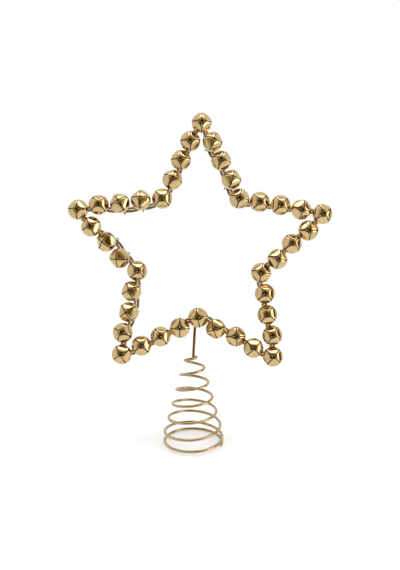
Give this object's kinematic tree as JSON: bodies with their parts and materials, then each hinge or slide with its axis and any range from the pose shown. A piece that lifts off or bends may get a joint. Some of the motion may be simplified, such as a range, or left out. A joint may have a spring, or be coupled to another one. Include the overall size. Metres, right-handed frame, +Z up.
{
  "type": "christmas tree topper star",
  "caption": "Star-shaped christmas tree topper of gold jingle bells strung on a twisted wire frame, on a wire stem and a conical spring that grips the tree's tip.",
  "frame": {"origin": "middle of the spring's open lower end, at the level of its lowest turn", "axes": "+Z up along the spring's axis, the star faces -Y, +X to the right as seen from the front"},
  "size_m": [0.1969, 0.0692, 0.2511],
  "materials": {
    "bell_gold": "polished gold plating",
    "wire_gold": "satin gold wire"
  },
  "bodies": {
    "spring": {"spring": "wire_gold"},
    "stem": {"stem": "wire_gold"},
    "star_frame": {"frame_wire_a": "wire_gold", "frame_wire_b": "wire_gold"},
    "bell_01": {"bell_01": "bell_gold"},
    "bell_02": {"bell_02": "bell_gold"},
    "bell_03": {"bell_03": "bell_gold"},
    "bell_04": {"bell_04": "bell_gold"},
    "bell_05": {"bell_05": "bell_gold"},
    "bell_06": {"bell_06": "bell_gold"},
    "bell_07": {"bell_07": "bell_gold"},
    "bell_08": {"bell_08": "bell_gold"},
    "bell_09": {"bell_09": "bell_gold"},
    "bell_10": {"bell_10": "bell_gold"},
    "bell_11": {"bell_11": "bell_gold"},
    "bell_12": {"bell_12": "bell_gold"},
    "bell_13": {"bell_13": "bell_gold"},
    "bell_14": {"bell_14": "bell_gold"},
    "bell_15": {"bell_15": "bell_gold"},
    "bell_16": {"bell_16": "bell_gold"},
    "bell_17": {"bell_17": "bell_gold"},
    "bell_18": {"bell_18": "bell_gold"},
    "bell_19": {"bell_19": "bell_gold"},
    "bell_20": {"bell_20": "bell_gold"},
    "bell_21": {"bell_21": "bell_gold"},
    "bell_22": {"bell_22": "bell_gold"},
    "bell_23": {"bell_23": "bell_gold"},
    "bell_24": {"bell_24": "bell_gold"},
    "bell_25": {"bell_25": "bell_gold"},
    "bell_26": {"bell_26": "bell_gold"},
    "bell_27": {"bell_27": "bell_gold"},
    "bell_28": {"bell_28": "bell_gold"},
    "bell_29": {"bell_29": "bell_gold"},
    "bell_30": {"bell_30": "bell_gold"},
    "bell_31": {"bell_31": "bell_gold"},
    "bell_32": {"bell_32": "bell_gold"},
    "bell_33": {"bell_33": "bell_gold"},
    "bell_34": {"bell_34": "bell_gold"},
    "bell_35": {"bell_35": "bell_gold"},
    "bell_36": {"bell_36": "bell_gold"},
    "bell_37": {"bell_37": "bell_gold"},
    "bell_38": {"bell_38": "bell_gold"},
    "bell_39": {"bell_39": "bell_gold"},
    "bell_40": {"bell_40": "bell_gold"}
  },
  "joints": [
    {"name": "spring_compress", "type": "slide", "parent": "spring", "child": "stem", "axis": [0, 0, 1], "range_m": [-0.03, 0.015], "stiffness_N_per_m": 300, "springref_m": 0.00461, "deforming": ["spring"]},
    {"name": "star_tilt", "type": "hinge", "parent": "stem", "child": "star_frame", "pos_m": [0.00162, 0.0099, 0.0991], "axis": [0.9986, -0.0118, -0.051], "range_deg": [-20, 20]},
    {"name": "bell_01_swing", "type": "hinge", "parent": "star_frame", "child": "bell_01", "pos_m": [0.00587, 0.04235, 0.23966], "axis": [-0.9998, 0.0039, 0.017], "range_deg": [-3.5, 19]},
    {"name": "bell_02_swing", "type": "hinge", "parent": "star_frame", "child": "bell_02", "pos_m": [-0.00271, 0.03941, 0.22693], "axis": [-0.4368, -0.2024, -0.8765], "range_deg": [-3.5, 20]},
    {"name": "bell_03_swing", "type": "hinge", "parent": "star_frame", "child": "bell_03", "pos_m": [-0.00833, 0.03604, 0.21233], "axis": [-0.4368, -0.2024, -0.8765], "range_deg": [-20, 18]},
    {"name": "bell_04_swing", "type": "hinge", "parent": "star_frame", "child": "bell_04", "pos_m": [-0.01624, 0.03242, 0.19667], "axis": [-0.4368, -0.2024, -0.8765], "range_deg": [-20, 7.5]},
    {"name": "bell_05_swing", "type": "hinge", "parent": "star_frame", "child": "bell_05", "pos_m": [-0.02362, 0.03001, 0.18621], "axis": [-0.8192, -0.129, -0.5589], "range_deg": [-19, 7.5]},
    {"name": "bell_06_swing", "type": "hinge", "parent": "star_frame", "child": "bell_06", "pos_m": [-0.03863, 0.02864, 0.18027], "axis": [-0.9947, -0.0231, -0.1001], "range_deg": [-20, 2]},
    {"name": "bell_07_swing", "type": "hinge", "parent": "star_frame", "child": "bell_07", "pos_m": [-0.05267, 0.02823, 0.1785], "axis": [-0.9947, -0.0231, -0.1001], "range_deg": [-20, 4]},
    {"name": "bell_08_swing", "type": "hinge", "parent": "star_frame", "child": "bell_08", "pos_m": [-0.07109, 0.02846, 0.17951], "axis": [-0.9947, -0.0231, -0.1001], "range_deg": [-1.5, 16]},
    {"name": "bell_09_swing", "type": "hinge", "parent": "star_frame", "child": "bell_09", "pos_m": [-0.08474, 0.02789, 0.17701], "axis": [-0.3256, -0.2127, -0.9213], "range_deg": [-1.5, 19]},
    {"name": "bell_10_swing", "type": "hinge", "parent": "star_frame", "child": "bell_10", "pos_m": [-0.07516, 0.02513, 0.16507], "axis": [0.7206, -0.156, -0.6756], "range_deg": [-7.5, 20]},
    {"name": "bell_11_swing", "type": "hinge", "parent": "star_frame", "child": "bell_11", "pos_m": [-0.05948, 0.02298, 0.15576], "axis": [0.7206, -0.156, -0.6756], "range_deg": [-20, 2]},
    {"name": "bell_12_swing", "type": "hinge", "parent": "star_frame", "child": "bell_12", "pos_m": [-0.05065, 0.02052, 0.14509], "axis": [0.7206, -0.156, -0.6756], "range_deg": [-20, 2]},
    {"name": "bell_13_swing", "type": "hinge", "parent": "star_frame", "child": "bell_13", "pos_m": [-0.04426, 0.01779, 0.1333], "axis": [0.2924, -0.2151, -0.9318], "range_deg": [-11, 4]},
    {"name": "bell_14_swing", "type": "hinge", "parent": "star_frame", "child": "bell_14", "pos_m": [-0.0426, 0.01402, 0.11696], "axis": [-0.2097, -0.22, -0.9527], "range_deg": [-20, 7]},
    {"name": "bell_15_swing", "type": "hinge", "parent": "star_frame", "child": "bell_15", "pos_m": [-0.04404, 0.01094, 0.1036], "axis": [-0.2097, -0.22, -0.9527], "range_deg": [-20, 6]},
    {"name": "bell_16_swing", "type": "hinge", "parent": "star_frame", "child": "bell_16", "pos_m": [-0.05115, 0.00692, 0.08622], "axis": [-0.2097, -0.22, -0.9527], "range_deg": [-3.5, 16]},
    {"name": "bell_17_swing", "type": "hinge", "parent": "star_frame", "child": "bell_17", "pos_m": [-0.05213, 0.00397, 0.07344], "axis": [0.7986, -0.1354, -0.5864], "range_deg": [-3, 19]},
    {"name": "bell_18_swing", "type": "hinge", "parent": "star_frame", "child": "bell_18", "pos_m": [-0.0383, 0.00478, 0.07693], "axis": [0.8821, 0.106, 0.459], "range_deg": [-3.5, 20]},
    {"name": "bell_19_swing", "type": "hinge", "parent": "star_frame", "child": "bell_19", "pos_m": [-0.02464, 0.00623, 0.08321], "axis": [0.8821, 0.106, 0.459], "range_deg": [-13, 20]},
    {"name": "bell_20_swing", "type": "hinge", "parent": "star_frame", "child": "bell_20", "pos_m": [-0.00999, 0.00852, 0.09314], "axis": [0.8821, 0.106, 0.459], "range_deg": [-20, 19]},
    {"name": "bell_21_swing", "type": "hinge", "parent": "star_frame", "child": "bell_21", "pos_m": [0.00462, 0.00996, 0.09937], "axis": [0.9998, -0.0039, -0.017], "range_deg": [-20, 2]},
    {"name": "bell_22_swing", "type": "hinge", "parent": "star_frame", "child": "bell_22", "pos_m": [0.02054, 0.00841, 0.09266], "axis": [0.8651, -0.1128, -0.4887], "range_deg": [-20, 10]},
    {"name": "bell_23_swing", "type": "hinge", "parent": "star_frame", "child": "bell_23", "pos_m": [0.03035, 0.00657, 0.08467], "axis": [0.8651, -0.1128, -0.4887], "range_deg": [-15, 20]},
    {"name": "bell_24_swing", "type": "hinge", "parent": "star_frame", "child": "bell_24", "pos_m": [0.04496, 0.00499, 0.07784], "axis": [0.8651, -0.1128, -0.4887], "range_deg": [-2, 20]},
    {"name": "bell_25_swing", "type": "hinge", "parent": "star_frame", "child": "bell_25", "pos_m": [0.05896, 0.00339, 0.07091], "axis": [0.8192, 0.129, 0.5589], "range_deg": [-2, 20]},
    {"name": "bell_26_swing", "type": "hinge", "parent": "star_frame", "child": "bell_26", "pos_m": [0.05853, 0.00662, 0.08489], "axis": [-0.1754, 0.2215, 0.9593], "range_deg": [-2.5, 20]},
    {"name": "bell_27_swing", "type": "hinge", "parent": "star_frame", "child": "bell_27", "pos_m": [0.05622, 0.00998, 0.09947], "axis": [-0.1754, 0.2215, 0.9593], "range_deg": [-19, 20]},
    {"name": "bell_28_swing", "type": "hinge", "parent": "star_frame", "child": "bell_28", "pos_m": [0.05296, 0.01365, 0.11533], "axis": [-0.1754, 0.2215, 0.9593], "range_deg": [-20, 20]},
    {"name": "bell_29_swing", "type": "hinge", "parent": "star_frame", "child": "bell_29", "pos_m": [0.05083, 0.0172, 0.1307], "axis": [0.3256, 0.2127, 0.9213], "range_deg": [-19, 5]},
    {"name": "bell_30_swing", "type": "hinge", "parent": "star_frame", "child": "bell_30", "pos_m": [0.06054, 0.01957, 0.141], "axis": [0.7443, 0.1502, 0.6507], "range_deg": [-20, 20]},
    {"name": "bell_31_swing", "type": "hinge", "parent": "star_frame", "child": "bell_31", "pos_m": [0.07281, 0.02194, 0.15125], "axis": [0.7443, 0.1502, 0.6507], "range_deg": [-18, 20]},
    {"name": "bell_32_swing", "type": "hinge", "parent": "star_frame", "child": "bell_32", "pos_m": [0.08443, 0.02462, 0.16286], "axis": [0.7443, 0.1502, 0.6507], "range_deg": [-2.5, 19]},
    {"name": "bell_33_swing", "type": "hinge", "parent": "star_frame", "child": "bell_33", "pos_m": [0.09472, 0.02732, 0.17454], "axis": [-0.2924, 0.2151, 0.9318], "range_deg": [-3.5, 17]},
    {"name": "bell_34_swing", "type": "hinge", "parent": "star_frame", "child": "bell_34", "pos_m": [0.07956, 0.02829, 0.17877], "axis": [-0.9905, 0.0309, 0.1339], "range_deg": [-3, 20]},
    {"name": "bell_35_swing", "type": "hinge", "parent": "star_frame", "child": "bell_35", "pos_m": [0.06394, 0.0287, 0.18053], "axis": [-0.9905, 0.0309, 0.1339], "range_deg": [-20, 20]},
    {"name": "bell_36_swing", "type": "hinge", "parent": "star_frame", "child": "bell_36", "pos_m": [0.04803, 0.02936, 0.18338], "axis": [-0.9905, 0.0309, 0.1339], "range_deg": [-20, 1]},
    {"name": "bell_37_swing", "type": "hinge", "parent": "star_frame", "child": "bell_37", "pos_m": [0.03437, 0.02965, 0.18466], "axis": [-0.7986, 0.1354, 0.5864], "range_deg": [-20, 1]},
    {"name": "bell_38_swing", "type": "hinge", "parent": "star_frame", "child": "bell_38", "pos_m": [0.0263, 0.03227, 0.19602], "axis": [-0.4051, 0.2057, 0.8908], "range_deg": [-20, 7]},
    {"name": "bell_39_swing", "type": "hinge", "parent": "star_frame", "child": "bell_39", "pos_m": [0.02081, 0.03581, 0.21134], "axis": [-0.4051, 0.2057, 0.8908], "range_deg": [-20, 20]},
    {"name": "bell_40_swing", "type": "hinge", "parent": "star_frame", "child": "bell_40", "pos_m": [0.01162, 0.03887, 0.22459], "axis": [-0.4051, 0.2057, 0.8908], "range_deg": [-3.5, 7]}
  ]
}
